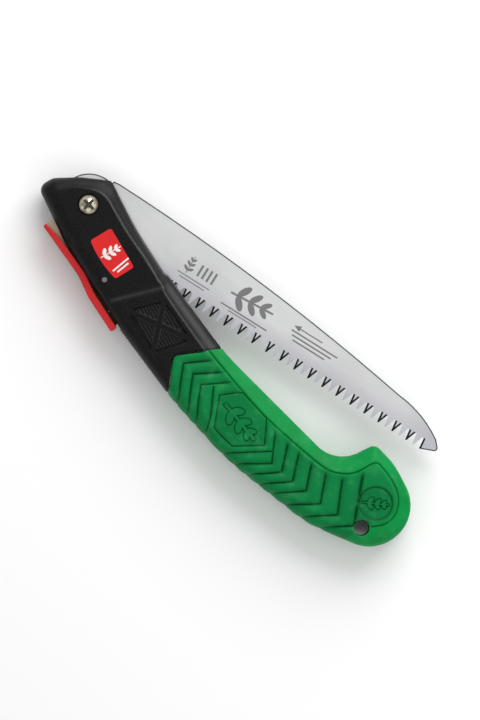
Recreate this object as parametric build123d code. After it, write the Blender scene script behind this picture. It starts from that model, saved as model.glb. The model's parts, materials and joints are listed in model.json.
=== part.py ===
from build123d import *
import os

# Folding pruning saw. Driving dimensions in millimetres and degrees.
#
# Working frame: the blade's pivot axis is the origin, +X runs along the handle
# to its butt, +Y is the mouth side that the blade swings out of, and Z = 0 is
# the blade's mid-plane. The saw lies flat, its blade a little way out. The
# export moves everything so that the origin is the bottom centre of the saw.

# ---- blade ----
BLADE_ANGLE = 12.9            # blade to handle, as it lies
CLOSED_ANGLE = 1.4            # blade to handle, folded away
OPEN_ANGLE = 177.1            # blade to handle, ready to saw
BLADE_THICKNESS = 1.3
TOOTH_COUNT = 45
TOOTH_PITCH = 4.0
TOOTH_HEIGHT = 5.2
TOOTH_LEAD = 0.7              # tip to the foot of its steep flank
TOOTH_TRAIL = 2.4             # tip to the foot of its long flank
TOOTH_SHOULDER = (0.8, 0.45)  # tip to the end of its short top facet
GULLET_SAG = 0.3
FIRST_TIP_X = 21.7
TIP_LINE_Y = -15.0
TOOTH_BEVEL_WIDTH = 0.9
TOOTH_BEVEL_DEPTH = 0.85
TANG_RADIUS = 15.2
NOTCH_WIDTH = 2.6
NOTCH_DEPTH = 2.8
NOTCH_REACH = 9.0             # from its floor to clear of the blade
PIVOT_BORE = 8.0

# ---- handle ----
CORE_HALF = 10.5              # half thickness of the black core
GRIP_HALF = 11.3              # half thickness of the green grip
EDGE_RADIUS = 3.8
SLOT_HALF = 1.5
SLOT_END_X = 208.5
THROUGH_SLOT_X = 37.0         # ahead of this the slot has no floor
SKIN = 2.4                    # grip rubber over the core, round the edge
FACE_SKIN = 2.2               # grip rubber over the core, on the faces
LANYARD_HOLE = (203.1, -17.2)
LANYARD_DIAMETER = 7.8

# ---- pivot ----
BUSH_DIAMETER = 7.94
BUSH_BORE = 5.1
BUSH_HALF = 5.0
SCREW_DIAMETER = 4.9
SCREW_HEAD_DIAMETER = 9.2
SCREW_HEAD_HEIGHT = 2.8
SCREW_HEAD_RIM = 0.9          # height of its straight side
CROSS_SLOT_LENGTH = 7.2
CROSS_SLOT_WIDTH = 2.2
CROSS_SLOT_DEPTH = 1.9
CROSS_SLOT_TAPER = 14.0
HEAD_RECESS_DIAMETER = 10.6
HEAD_RECESS_FLOOR = 6.6       # height of its floor over the mid-plane
SPRING_WASHER_THICKNESS = 1.0
SPRING_WASHER_DIAMETER = 9.2
SPRING_WASHER_BORE = 5.2
SPRING_WASHER_SPLIT = 0.5
SPRING_WASHER_SLANT = 30.0
NUT_ACROSS_FLATS = 8.0
NUT_HEIGHT = 4.0
NUT_RECESS_FLOOR = 6.1
BORE_ALLOWANCE = 0.5
FRICTION_WASHER_DIAMETER = 16.0
FRICTION_WASHER_BORE = 8.1
FRICTION_WASHER_GAP = 0.03    # to the blade and to the slot wall

# ---- lock lever ----
LEVER_PIVOT = (31.1, -20.2)
LEVER_PIN_DIAMETER = 2.5
PIN_CLEARANCE = 0.05          # round the pin, in the lock plate
PIN_INSET = 0.1               # of its ends from the faces
LEVER_TRAVEL = 4.5
PLATE_HALF = 1.25
NOSE_ANGLE = 257.0            # seen from the blade pivot
NOSE_RADIUS = 15.4            # from the blade pivot to its face
NOSE_WIDTH = 2.0
NOSE_LENGTH = 4.0
BOSS_RADIUS = 4.2
COVER_HALF = 5.0
COVER_EDGE = 0.5
CHANNEL_HALF = 5.3
SPRING_X = 45.0
SPRING_SEAT_Y = -29.8
SPRING_ROOF_Y = -21.0
SPRING_WIRE = 0.6
SPRING_OUTER = 4.0
SPRING_PITCH = 1.25
SPRING_POCKET_RADIUS = 2.4
SPRING_SEAT_WIDTH = 4.8
SPRING_SEAT_DEPTH = 4.0

# ---- labels and thumb pad ----
LABEL_THICKNESS = 0.2
LABEL_RECESS = 0.15
LABEL_ROUNDING = 1.3
PAD_DEPTH = 0.7
RIB_PITCH = 1.5
RIB_WIDTH = 0.8
RIB_HEIGHT = 0.4
RIB_COUNT = 17
BAR_WIDTH = 3.4
FAR = 60.0                    # longer than any cut needs

# Corners of the handle's outline: x, y and the radius that rounds each one.
HANDLE_OUTLINE = (
    (-0.5, 15.9, 2.5), (24.0, 7.9, 150.0), (49.0, 2.4, 110.0), (98.0, -4.3, 140.0),
    (172.9, -4.3, 17.0), (179.7, 16.0, 4.0), (193.0, 15.6, 30.0), (217.5, 8.1, 19.7),
    (218.8, -20.1, 19.7), (183.5, -34.4, 60.0), (134.0, -40.2, 150.0), (96.0, -38.3, 150.0),
    (50.0, -31.6, 150.0), (4.0, -20.9, 60.0), (-23.4, -11.2, 4.5), (-21.6, -3.2, 8.0),
    (-12.5, 6.3, 25.0),
)
# The green grip covers the handle behind this arrow-shaped parting line.
GRIP_ZONE = (
    (80.3, -22.8), (103.3, 5.7), (150.0, 40.0), (240.0, 40.0), (240.0, -60.0), (109.3, -60.0),
)
COVER_OUTLINE = (
    (-8.3, -22.9, 0.6), (20.5, -27.8, 12.0), (31.3, -31.8, 12.0), (51.3, -36.0, 1.2),
    (51.3, -32.4, 1.0), (32.0, -28.3, 10.0), (21.5, -24.4, 10.0), (8.0, -22.3, 20.0),
    (-1.0, -21.0, 10.0), (-8.3, -21.0, 0.6),
)
PLATE_OUTLINE = (
    (-8.0, -17.6), (26.0, -18.0), (34.0, -23.0), (50.3, -31.2), (50.3, -34.0),
    (31.0, -30.2), (21.0, -26.4), (8.0, -24.6), (-8.0, -22.1),
)
LEVER_CHANNEL = (
    (-40.0, -60.0), (-40.0, -20.4), (-1.0, -20.4), (8.0, -21.7), (21.7, -23.8),
    (32.0, -27.4), (53.2, -29.9), (53.2, -60.0),
)
LEVER_POCKET = ((36.0, -60.0), (36.0, -22.0), (53.0, -29.4), (53.0, -60.0))
BLADE_SLOT = ((36.0, -16.2), (SLOT_END_X, -12.0), (SLOT_END_X, 40.0), (36.0, 40.0))
LABEL_CORNERS = ((15.7, -0.4), (36.9, -5.9), (34.5, -16.1), (24.0, -15.1), (12.9, -11.6))
PAD_CORNERS = ((49.3, -22.8), (58.6, -7.0), (81.2, -11.1), (72.5, -28.9))
RIB_ANGLE = -15.0
SPINE = ((7.8, 16.4), (95.0, 12.0), (176.0, 1.9))
NOSE_CURVE = (SPINE[-1], (193.5, -2.2), (202.5, -7.0))
TIP_CORNER = ((204.9, -9.6), (205.3, -11.2), (204.2, -12.4))
BLADE_ROOT = ((6.0, -9.8), (2.4, 14.0), (2.4, 15.9))


# ---- helpers ----
def polygon(points):
    return make_face(Polyline(*points, close=True))


def rounded_polygon(corners):
    face = polygon([(x, y) for x, y, _ in corners])
    for x, y, radius in corners:
        vertex = face.vertices().sort_by_distance((x, y, 0))[0]
        face = fillet(vertex, radius)
    return face


def slab(face, half):
    return extrude(face, amount=half, both=True)


def disc(diameter, low, high, centre=(0, 0)):
    height = high - low
    return Pos(*centre, (low + high) / 2) * Cylinder(diameter / 2, height)


def ring(outer, inner, low, high):
    return disc(outer, low, high) - disc(inner, low - 1, high + 1)


# ---- blade ----
def tooth_edges():
    """The toothed edge, from the blade's tip to its heel."""
    edges = []
    foot_y = TIP_LINE_Y + TOOTH_HEIGHT
    for index in reversed(range(TOOTH_COUNT)):
        tip = (FIRST_TIP_X + index * TOOTH_PITCH, TIP_LINE_Y)
        lead = (tip[0] - TOOTH_LEAD, foot_y)
        shoulder = (tip[0] + TOOTH_SHOULDER[0], tip[1] + TOOTH_SHOULDER[1])
        trail = (tip[0] + TOOTH_TRAIL, foot_y)
        if index < TOOTH_COUNT - 1:
            gullet = ((previous_lead[0] + trail[0]) / 2, foot_y + GULLET_SAG)
            edges += [ThreePointArc(previous_lead, gullet, trail), Line(trail, shoulder)]
            edges.append(Line(shoulder, tip))
        edges.append(Line(tip, lead))
        previous_lead = lead
    return edges, lead


def tooth_bevels():
    """Ground facets on the flanks of every tooth, on alternate sides of the blade.

    The last tooth is part of the blade's tip, so it has only its steep flank."""
    cutters = []
    for index in range(TOOTH_COUNT):
        side = -1 if index % 2 else 1
        tip = Vector(FIRST_TIP_X + index * TOOTH_PITCH, TIP_LINE_Y, 0)
        lead = tip + Vector(-TOOTH_LEAD, TOOTH_HEIGHT, 0)
        shoulder = tip + Vector(*TOOTH_SHOULDER, 0)
        trail = tip + Vector(TOOTH_TRAIL, TOOTH_HEIGHT, 0)
        cutters.append(flank_cutter(tip, lead, 1, side))
        if index < TOOTH_COUNT - 1:
            cutters.append(flank_cutter(shoulder, trail, -1, side))
            cutters.append(flank_cutter(tip, shoulder, -1, side))
    return cutters


def flank_cutter(start, end, inward, side):
    margin = 0.4
    slope = TOOTH_BEVEL_DEPTH / TOOTH_BEVEL_WIDTH
    face_z = BLADE_THICKNESS / 2
    low = face_z - TOOTH_BEVEL_DEPTH - margin * slope
    far = TOOTH_BEVEL_WIDTH + margin / slope
    along = (end - start).normalized()
    into = Vector(along.Y, -along.X, 0) * inward
    first = start - along * margin
    section = ((-margin, low), (-margin, face_z + margin), (far, face_z + margin))
    corners = [first + into * reach + Vector(0, 0, height * side) for reach, height in section]
    return Solid.extrude(Face(Wire.make_polygon(corners)), along * ((end - start).length + 2 * margin))


def notch(blade_angle):
    """The lock notch that faces the lever's nose with the blade at this angle."""
    centre = TANG_RADIUS - NOTCH_DEPTH + NOTCH_REACH / 2
    slot = Pos(centre, 0) * Rectangle(NOTCH_REACH, NOTCH_WIDTH)
    return Rot(0, 0, NOSE_ANGLE - blade_angle) * slot


def make_blade():
    teeth, heel = tooth_edges()
    last_tip = (FIRST_TIP_X + (TOOTH_COUNT - 1) * TOOTH_PITCH, TIP_LINE_Y)
    front = [
        ThreePointArc(*NOSE_CURVE),
        Line(NOSE_CURVE[-1], TIP_CORNER[0]),
        ThreePointArc(*TIP_CORNER),
        Line(TIP_CORNER[-1], last_tip),
    ]
    root = Polyline(heel, *BLADE_ROOT, SPINE[0])
    body = make_face([ThreePointArc(*SPINE), *front, *teeth, *root.edges()])
    face = body + Circle(TANG_RADIUS)
    face -= [notch(angle) for angle in (OPEN_ANGLE, CLOSED_ANGLE)]
    face -= Circle(PIVOT_BORE / 2)
    return slab(face, BLADE_THICKNESS / 2) - tooth_bevels()


# ---- handle ----
def handle_block(half):
    block = slab(rounded_polygon(HANDLE_OUTLINE), half)
    rim = block.faces().filter_by(Axis.Z).edges()
    return fillet(rim, EDGE_RADIUS)


def core_skeleton():
    inner = offset(rounded_polygon(HANDLE_OUTLINE), -SKIN)
    return slab(inner, GRIP_HALF - FACE_SKIN) & slab(polygon(GRIP_ZONE), FAR)


def slot_cuts():
    through = Pos(THROUGH_SLOT_X - FAR, 0) * Rectangle(2 * FAR, 4 * FAR)
    return [slab(through, SLOT_HALF), slab(polygon(BLADE_SLOT), SLOT_HALF)]


def lever_cuts():
    pocket = disc(2 * SPRING_POCKET_RADIUS, 0, SPRING_ROOF_Y - SPRING_SEAT_Y + SPRING_SEAT_DEPTH / 2)
    pocket = Pos(SPRING_X, SPRING_ROOF_Y, 0) * Rot(90, 0, 0) * pocket
    return [
        slab(polygon(LEVER_CHANNEL), CHANNEL_HALF),
        slab(polygon(LEVER_POCKET), SLOT_HALF),
        pocket,
        disc(LEVER_PIN_DIAMETER, -FAR, FAR, LEVER_PIVOT),
    ]


def pivot_cuts():
    nut_hole = RegularPolygon(NUT_ACROSS_FLATS / 2, 6, major_radius=False)
    nut_hole = extrude(Pos(0, 0, -FAR) * nut_hole, amount=FAR - NUT_RECESS_FLOOR)
    return [
        disc(PIVOT_BORE, -BUSH_HALF, BUSH_HALF),
        disc(SCREW_DIAMETER + BORE_ALLOWANCE, -FAR, FAR),
        disc(HEAD_RECESS_DIAMETER, HEAD_RECESS_FLOOR, FAR),
        nut_hole,
    ]


def thumb_pad():
    """What is cut from the near face for the ribbed pad with its raised cross."""
    outline = polygon(PAD_CORNERS)
    recess = extrude(Pos(0, 0, CORE_HALF - PAD_DEPTH) * outline, amount=FAR)
    centre = outline.center()
    kept = []
    for index in range(RIB_COUNT):
        rib = Rectangle(FAR, RIB_WIDTH)
        across = (index - (RIB_COUNT - 1) / 2) * RIB_PITCH
        place = Pos(centre.X, centre.Y) * Rot(0, 0, RIB_ANGLE) * Pos(0, across)
        rib = Pos(0, 0, CORE_HALF - PAD_DEPTH) * place * rib
        kept.append(extrude(rib, amount=RIB_HEIGHT))
    for first, second in ((0, 2), (1, 3)):
        start, end = Vector(*PAD_CORNERS[first]), Vector(*PAD_CORNERS[second])
        angle = (end - start).get_signed_angle(Vector(1, 0, 0), Vector(0, 0, -1))
        bar = Rectangle((end - start).length + BAR_WIDTH, BAR_WIDTH)
        bar = Pos(*((start + end) / 2)) * Rot(0, 0, angle) * bar
        kept.append(extrude(Pos(0, 0, CORE_HALF - PAD_DEPTH) * bar, amount=PAD_DEPTH))
    return recess - kept


def label_face():
    first, second, third, middle, fourth = LABEL_CORNERS
    straight = Polyline(fourth, first, second, third)
    face = make_face([*straight.edges(), ThreePointArc(third, middle, fourth)])
    return fillet(face.vertices(), LABEL_ROUNDING)


def make_label():
    low = CORE_HALF - LABEL_RECESS
    return extrude(Pos(0, 0, low) * label_face(), amount=LABEL_THICKNESS)


def lanyard_bore():
    return disc(LANYARD_DIAMETER, -FAR, FAR, LANYARD_HOLE)


def make_core():
    front = handle_block(CORE_HALF) - slab(polygon(GRIP_ZONE), FAR)
    label_recess = extrude(Pos(0, 0, CORE_HALF - LABEL_RECESS) * label_face(), amount=FAR)
    core = front + core_skeleton()
    core -= slot_cuts() + lever_cuts() + pivot_cuts() + [lanyard_bore()]
    for cut in (thumb_pad(), label_recess):
        core -= cut
        core -= mirror(cut, about=Plane.XY)
    return core


def make_grip():
    grip = handle_block(GRIP_HALF) & slab(polygon(GRIP_ZONE), FAR)
    grip -= core_skeleton()
    return grip - slot_cuts() - lanyard_bore()


# ---- pivot ----
def make_screw():
    seat = HEAD_RECESS_FLOOR + SPRING_WASHER_THICKNESS
    top = seat + SCREW_HEAD_HEIGHT
    radius = SCREW_HEAD_DIAMETER / 2
    crown = SCREW_HEAD_HEIGHT - SCREW_HEAD_RIM
    side = Polyline((0, top), (0, seat), (radius, seat), (radius, top - crown))
    dome = RadiusArc((radius, top - crown), (0, top), (radius**2 + crown**2) / (2 * crown))
    head = revolve(Plane.XZ * make_face([*side.edges(), dome]), Axis.Z)
    shank = disc(SCREW_DIAMETER, -NUT_RECESS_FLOOR - NUT_HEIGHT, seat)
    arm = Rectangle(CROSS_SLOT_LENGTH, CROSS_SLOT_WIDTH)
    cross = Pos(0, 0, top) * (arm + Rot(0, 0, 90) * arm)
    return head + shank - extrude(cross, amount=-CROSS_SLOT_DEPTH, taper=CROSS_SLOT_TAPER)


def make_nut():
    low = -NUT_RECESS_FLOOR - NUT_HEIGHT
    hexagon = RegularPolygon(NUT_ACROSS_FLATS / 2, 6, major_radius=False)
    body = extrude(Pos(0, 0, low) * hexagon, amount=NUT_HEIGHT)
    return body - disc(SCREW_DIAMETER, -FAR, FAR)


def make_spring_washer():
    high = HEAD_RECESS_FLOOR + SPRING_WASHER_THICKNESS
    washer = ring(SPRING_WASHER_DIAMETER, SPRING_WASHER_BORE, HEAD_RECESS_FLOOR, high)
    middle = (SPRING_WASHER_DIAMETER + SPRING_WASHER_BORE) / 4
    width = SPRING_WASHER_DIAMETER - SPRING_WASHER_BORE
    split = Pos(middle, 0, high) * Rot(SPRING_WASHER_SLANT, 0, 0) * Box(width, SPRING_WASHER_SPLIT, FAR)
    return washer - split


def make_friction_washer(side):
    low = BLADE_THICKNESS / 2 + FRICTION_WASHER_GAP
    high = SLOT_HALF - FRICTION_WASHER_GAP
    washer = ring(FRICTION_WASHER_DIAMETER, FRICTION_WASHER_BORE, low, high)
    return washer if side > 0 else mirror(washer, about=Plane.XY)


# ---- lock lever ----
def make_plate():
    nose = Pos(NOSE_RADIUS + NOSE_LENGTH / 2, 0) * Rectangle(NOSE_LENGTH, NOSE_WIDTH)
    face = polygon(PLATE_OUTLINE) + Rot(0, 0, NOSE_ANGLE) * nose
    face += Pos(*LEVER_PIVOT) * Circle(BOSS_RADIUS)
    face -= Pos(*LEVER_PIVOT) * Circle(LEVER_PIN_DIAMETER / 2 + PIN_CLEARANCE)
    seat = Rectangle(SPRING_SEAT_WIDTH, SPRING_SEAT_DEPTH)
    face -= Pos(SPRING_X, SPRING_SEAT_Y + SPRING_SEAT_DEPTH / 2) * seat
    return slab(face, PLATE_HALF)


def make_cover():
    cover = slab(rounded_polygon(COVER_OUTLINE), COVER_HALF)
    rim = cover.faces().filter_by(Axis.Z).edges()
    return fillet(rim, COVER_EDGE) - slab(polygon(PLATE_OUTLINE), PLATE_HALF)


def make_lever_spring():
    length = SPRING_ROOF_Y - SPRING_SEAT_Y - SPRING_WIRE
    radius = (SPRING_OUTER - SPRING_WIRE) / 2
    path = Helix(SPRING_PITCH, length, radius)
    profile = Plane(origin=path @ 0, z_dir=path % 0) * Circle(SPRING_WIRE / 2)
    coil = sweep(profile, path=path)
    return Pos(SPRING_X, SPRING_ROOF_Y - SPRING_WIRE / 2, 0) * Rot(90, 0, 0) * coil


# ---- assembly ----
def make_parts():
    label = make_label()
    pin_half = CORE_HALF - PIN_INSET
    return {
        "handle_core": make_core(),
        "grip_overmould": make_grip(),
        "pivot_screw": make_screw(),
        "spring_washer": make_spring_washer(),
        "pivot_nut": make_nut(),
        "pivot_bush": ring(BUSH_DIAMETER, BUSH_BORE, -BUSH_HALF, BUSH_HALF),
        "friction_washer_near": make_friction_washer(1),
        "friction_washer_far": make_friction_washer(-1),
        "lever_pin": disc(LEVER_PIN_DIAMETER, -pin_half, pin_half, LEVER_PIVOT),
        "lever_spring": make_lever_spring(),
        "label_near": label,
        "label_far": mirror(label, about=Plane.XY),
        "blade": Rot(0, 0, BLADE_ANGLE) * make_blade(),
        "lock_plate": make_plate(),
        "lever_cover": make_cover(),
    }


def main():
    os.makedirs("parts", exist_ok=True)
    parts = make_parts()
    box = Compound(children=[Compound([part]) for part in parts.values()]).bounding_box()
    shift = Pos(-box.center().X, -box.center().Y, -box.min.Z)
    for name, part in parts.items():
        export_step(shift * part, f"parts/{name}.step")
    print("size", box.size)
    print("blade pivot", shift * Pos(0, 0, 0))
    print("lever pivot", shift * Pos(*LEVER_PIVOT))
    print("lanyard hole", shift * Pos(*LANYARD_HOLE))
    print("blade range", CLOSED_ANGLE - BLADE_ANGLE, OPEN_ANGLE - BLADE_ANGLE)
    print("lever range", 0, LEVER_TRAVEL)


main()
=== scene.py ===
import json
import math

import bmesh
import bpy
import numpy as np
from mathutils import Matrix, Vector
from mathutils.geometry import delaunay_2d_cdt
from mathutils.kdtree import KDTree


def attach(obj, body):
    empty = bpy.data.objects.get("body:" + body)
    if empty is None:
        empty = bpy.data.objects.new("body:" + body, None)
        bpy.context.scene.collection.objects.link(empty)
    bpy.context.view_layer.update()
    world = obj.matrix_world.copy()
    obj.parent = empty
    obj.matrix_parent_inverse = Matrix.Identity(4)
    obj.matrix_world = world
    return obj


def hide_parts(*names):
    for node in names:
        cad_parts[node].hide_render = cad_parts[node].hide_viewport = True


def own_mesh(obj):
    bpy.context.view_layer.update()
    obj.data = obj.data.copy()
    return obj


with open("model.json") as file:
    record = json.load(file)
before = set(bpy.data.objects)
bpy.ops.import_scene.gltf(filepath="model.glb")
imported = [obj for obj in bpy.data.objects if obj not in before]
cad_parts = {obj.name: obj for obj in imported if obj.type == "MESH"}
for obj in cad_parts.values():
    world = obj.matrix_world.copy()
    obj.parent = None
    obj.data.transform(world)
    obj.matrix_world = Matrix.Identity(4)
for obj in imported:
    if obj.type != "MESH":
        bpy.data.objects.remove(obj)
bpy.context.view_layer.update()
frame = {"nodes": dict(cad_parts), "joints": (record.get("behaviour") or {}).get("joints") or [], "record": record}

scene = bpy.context.scene

# Shapes are drawn in millimetres from the blade pivot: x along the handle to
# its butt, y to the mouth side, z up from the blade's mid-plane.
MM = 0.001
JOINTS = {joint["name"]: joint for joint in frame["joints"]}
PIVOT = Vector(JOINTS["blade_fold"]["pos_m"])
BLADE_ANGLE = math.radians(12.9)
BLADE_HALF = 0.65

CORE_HALF = 10.5
GRIP_HALF = 11.3
SLOT_HALF = 1.5
HANDLE_OUTLINE = (
    (-0.5, 15.9, 2.5), (24.0, 7.9, 150.0), (49.0, 2.35, 3.0), (51.0, 3.0, 3.0), (67.0, 0.2, 60.0),
    (98.0, -4.3, 140.0),
    (172.9, -4.3, 17.0), (179.7, 16.0, 4.0), (193.0, 15.6, 30.0), (217.5, 8.1, 19.7),
    (218.8, -20.1, 19.7), (183.5, -34.4, 60.0), (134.0, -40.2, 150.0), (96.0, -38.3, 150.0),
    (50.0, -31.6, 150.0), (4.0, -20.9, 60.0), (-23.4, -11.2, 4.5), (-21.6, -3.2, 8.0),
    (-12.5, 6.3, 25.0),
)
BLADE_SLOT = ((36.0, -16.2), (208.5, -12.0), (208.5, 40.0), (36.0, 40.0))
THROUGH_SLOT = ((-60.0, -60.0), (37.0, -60.0), (37.0, 40.0), (-60.0, 40.0))
LEVER_CHANNEL = (
    (-40.0, -60.0), (-40.0, -20.4), (-1.0, -20.4), (8.0, -21.7), (21.7, -23.8),
    (32.0, -27.4), (53.2, -29.9), (53.2, -60.0),
)
LEVER_POCKET = ((36.0, -60.0), (36.0, -22.0), (53.0, -29.4), (53.0, -60.0))
LANYARD_HOLE = (203.1, -17.2)
LANYARD_RADIUS = 3.9
COLLAR_RADIUS = 5.2
RIB_DEPTH = 1.1
CHAMFER_WIDTH = 0.6
CHAMFER_LIFT = 0.006
TOOTH_ROOT_Y = -8.0           # along the blade; its teeth lie below this
BLADE_TIP_X = 198.5
TANG_INSIDE = 12.5
MARK_LIFT = 0.012
MOTIF_LIFT = 0.065
SHAPE_STEP = 0.0015           # from each flat shape to the next
FAR = 30                      # further than any cut needs
CHANNEL_HALF = 5.3
HEAD_RECESS = (5.3, 6.6)      # radius and floor
BUSH_BORE = (4.0, 5.0)        # radius and half length
SCREW_BORE_RADIUS = 2.7
NUT_RECESS = (8.06, -6.1)     # across flats and floor
PIN_BORE_RADIUS = 1.3
CORE_EDGE = 6.3               # height of each part's outer edge, where it is bevelled
GRIP_EDGE = 6.8
PARTING_TIP = (79.4, -22.8)
PARTING_SLOPE = 0.79
PARTING_ROUNDING = 1.2
PARTING_OVERLAP = 0.1         # of the core under the grip
STEP_LINE = ((54.0, -2.7), (40.7, -24.9))
CROSS_REACH = 4.2             # further out than the screw's cross recess
CROSS_FLOOR = 8.7             # just above its floor
HEAD_UNDERSIDE = 7.7
LEVER_PIN = (31.1, -20.2)
SPRING_TOP = (45.0, -21.0)
SPRING_LENGTH = 8.6
SPRING_RADIUS = 1.3
SPRING_WIRE = 0.5
SPRING_TURNS = 6.5
SPRING_STEPS = 36             # in each turn
HEAD_CORNER_BLEND = 6.0
EDGE_RINGS = (0.15, 0.45, 0.9, 1.4, 2.0)    # rows of points inside each plan's boundary
EMBLEM_CENTRE = (199.8, -4.1)
EMBLEM_RADIUS = 8.0
EMBLEM_SPRIG = (EMBLEM_CENTRE, 12.5, math.radians(38))       # centre, length and turn
HEXAGON_SPRIG = ((125.6, -22.6), 22.0, math.radians(-6))
HEXAGON_CENTRE = (125.6, -22.4)
SKIN = 2.4
REAR_HALF = 6.0
COLLAR_HALF = 8.4

# The groove between the smooth band along the mouth and the ribbed panel.
BAND_GROOVE = (
    (91.0, -8.7), (104.0, -10.0), (118.0, -11.2), (133.6, -11.9), (146.0, -11.4),
    (158.0, -10.6), (167.0, -9.7), (173.0, -8.4), (178.0, -5.4), (181.6, -1.6),
    (183.6, 3.0), (184.7, 7.4), (186.4, 10.3), (190.0, 10.6), (196.1, 9.8), (202.0, 7.9),
    (206.2, 5.2), (209.4, 1.0), (210.7, -3.6), (209.6, -8.6), (206.8, -12.8), (203.1, -17.2),
)
# Chevron grooves of the panel, each from the band groove's side to the back edge.
CHEVRONS = (
    ((96.3, -9.6), (86.5, -21.9), (98.5, -38.5)),
    ((103.4, -10.9), (93.3, -22.4), (105.5, -38.5)),
    ((109.4, -11.7), (99.7, -23.3), (111.5, -39.0)),
    ((104.7, -19.6), (113.9, -30.9), (118.4, -39.5)),
    ((146.3, -22.0), (134.1, -35.4), (130.5, -39.5)),
    ((140.9, -13.6), (150.7, -26.0), (138.0, -39.5)),
    ((149.4, -13.6), (157.0, -25.6), (145.5, -39.3)),
    ((156.0, -12.4), (163.9, -25.1), (152.5, -38.8)),
    ((163.6, -11.2), (171.7, -23.7), (159.5, -38.2)),
    ((171.6, -9.6), (181.0, -23.2), (168.0, -37.6)),
    ((178.7, -5.4), (190.6, -21.2), (177.8, -36.0)),
    ((184.2, 3.0), (199.9, -19.4), (187.0, -34.5)),
)
HEXAGON = (
    (109.7, -20.4), (116.5, -11.4), (133.6, -12.1), (142.0, -22.3), (131.1, -33.8), (119.1, -33.6),
)
PAD_CORNERS = ((49.3, -22.8), (58.6, -7.0), (81.2, -11.1), (72.5, -28.9))

# The camera looks straight down, turned so that the handle lies along a diagonal of its view.
LENS = 300
SENSOR = 36
VIEW_CENTRE = (104.6, -1.4)
VIEW_HEIGHT = 0.3481          # in metres, at the blade
VIEW_TURN = math.radians(45)


# ---- small helpers ----
def at(x, y, z=0.0):
    """A point given in millimetres from the blade pivot, in the frame's metres."""
    return PIVOT + Vector((x, y, z)) * MM


def on_blade(x, y, z=0.0):
    """The same for a point given along the blade, which lies turned out of the handle."""
    c, s = math.cos(BLADE_ANGLE), math.sin(BLADE_ANGLE)
    return at(x * c - y * s, x * s + y * c, z)


def smoothstep(value, low, high):
    t = np.clip((value - low) / (high - low), 0.0, 1.0)
    return t * t * (3 - 2 * t)


def link(name, mesh, body, material):
    """A new piece that rides on a body."""
    piece = bpy.data.objects.new(name, mesh)
    scene.collection.objects.link(piece)
    mesh.materials.append(material)
    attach(piece, body)
    return piece


def shade(mesh, sharp_degrees):
    mesh.polygons.foreach_set("use_smooth", [True] * len(mesh.polygons))
    mesh.set_sharp_from_angle(angle=math.radians(sharp_degrees))


def rounded_outline(corners, step=0.45):
    """Points round a closed polygon whose corners are arcs of the given radii."""
    points = []
    count = len(corners)
    for index, (x, y, radius) in enumerate(corners):
        corner = Vector((x, y))
        before = Vector(corners[index - 1][:2]) - corner
        after = Vector(corners[(index + 1) % count][:2]) - corner
        turn = math.pi - before.angle(after)
        reach = radius * math.tan(turn / 2)
        start = corner + before.normalized() * reach
        end = corner + after.normalized() * reach
        inward = (before.normalized() + after.normalized()).normalized()
        centre = corner + inward * (radius / math.cos(turn / 2))
        if points:
            points += straight(points[-1], start, step)
        steps = max(2, round(radius * turn / step))
        for k in range(steps + 1):
            share = k / steps
            first, last = (start - centre).normalized(), (end - centre).normalized()
            sweep = first.angle_signed(last) * share
            arm = Matrix.Rotation(-sweep, 2) @ first
            points.append(centre + arm * radius)
    points += straight(points[-1], points[0], step)
    return np.array([tuple(p) for p in points])


def straight(start, end, step):
    """Points strictly between two ends."""
    count = int((end - start).length / step)
    return [start.lerp(end, (k + 1) / (count + 1)) for k in range(count)]


def resample(points, step, closed=False):
    points = np.asarray(points, float)
    if closed:
        points = np.vstack([points, points[:1]])
    legs = np.hypot(*np.diff(points, axis=0).T)
    along = np.concatenate([[0], np.cumsum(legs)])
    count = max(2, round(along[-1] / step))
    marks = np.linspace(0, along[-1], count + 1)
    if closed:
        marks = marks[:-1]
    return np.column_stack([np.interp(marks, along, points[:, k]) for k in (0, 1)])


def curve_through(points, step):
    """A Catmull-Rom curve through the points, evenly sampled."""
    p = np.asarray(points, float)
    p = np.vstack([2 * p[0] - p[1], p, 2 * p[-1] - p[-2]])
    dense = []
    for k in range(1, len(p) - 2):
        t = np.linspace(0, 1, 24, endpoint=False)[:, None]
        a, b, c, d = p[k - 1], p[k], p[k + 1], p[k + 2]
        dense.append(0.5 * (2 * b + (c - a) * t + (2 * a - 5 * b + 4 * c - d) * t**2
                            + (3 * b - a - 3 * c + d) * t**3))
    dense.append(p[-2][None, :])
    return resample(np.vstack(dense), step)


def distance_to(points, line, closed=False):
    """The distance from each point to a polyline."""
    line = np.asarray(line, float)
    if closed:
        line = np.vstack([line, line[:1]])
    best = np.full(len(points), 1e9)
    for a, b in zip(line[:-1], line[1:]):
        run = b - a
        share = np.clip(((points - a) @ run) / (run @ run), 0, 1)
        gap = points - a - share[:, None] * run
        best = np.minimum(best, np.hypot(gap[:, 0], gap[:, 1]))
    return best


def inside(points, polygon):
    polygon = np.asarray(polygon, float)
    hit = np.zeros(len(points), bool)
    x, y = points[:, 0], points[:, 1]
    for a, b in zip(polygon, np.roll(polygon, -1, axis=0)):
        crosses = (a[1] > y) != (b[1] > y)
        run = np.where(b[1] == a[1], 1e-9, b[1] - a[1])
        hit ^= crosses & (x < (b[0] - a[0]) * (y - a[1]) / run + a[0])
    return hit


def beside(line, gap):
    """The same polyline moved sideways by the gap."""
    heading = np.gradient(line, axis=0)
    heading /= np.hypot(heading[:, 0], heading[:, 1])[:, None]
    return line + np.column_stack([-heading[:, 1], heading[:, 0]]) * gap


def inward(ring):
    """Unit vectors into a closed ring, one at each of its points."""
    closed = np.vstack([ring[-1:], ring, ring[:1]])
    heading = closed[2:] - closed[:-2]
    heading /= np.hypot(heading[:, 0], heading[:, 1])[:, None]
    area = np.cross(ring, np.roll(ring, -1, axis=0)).sum()
    return np.column_stack([-heading[:, 1], heading[:, 0]]) * np.sign(area)


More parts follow.
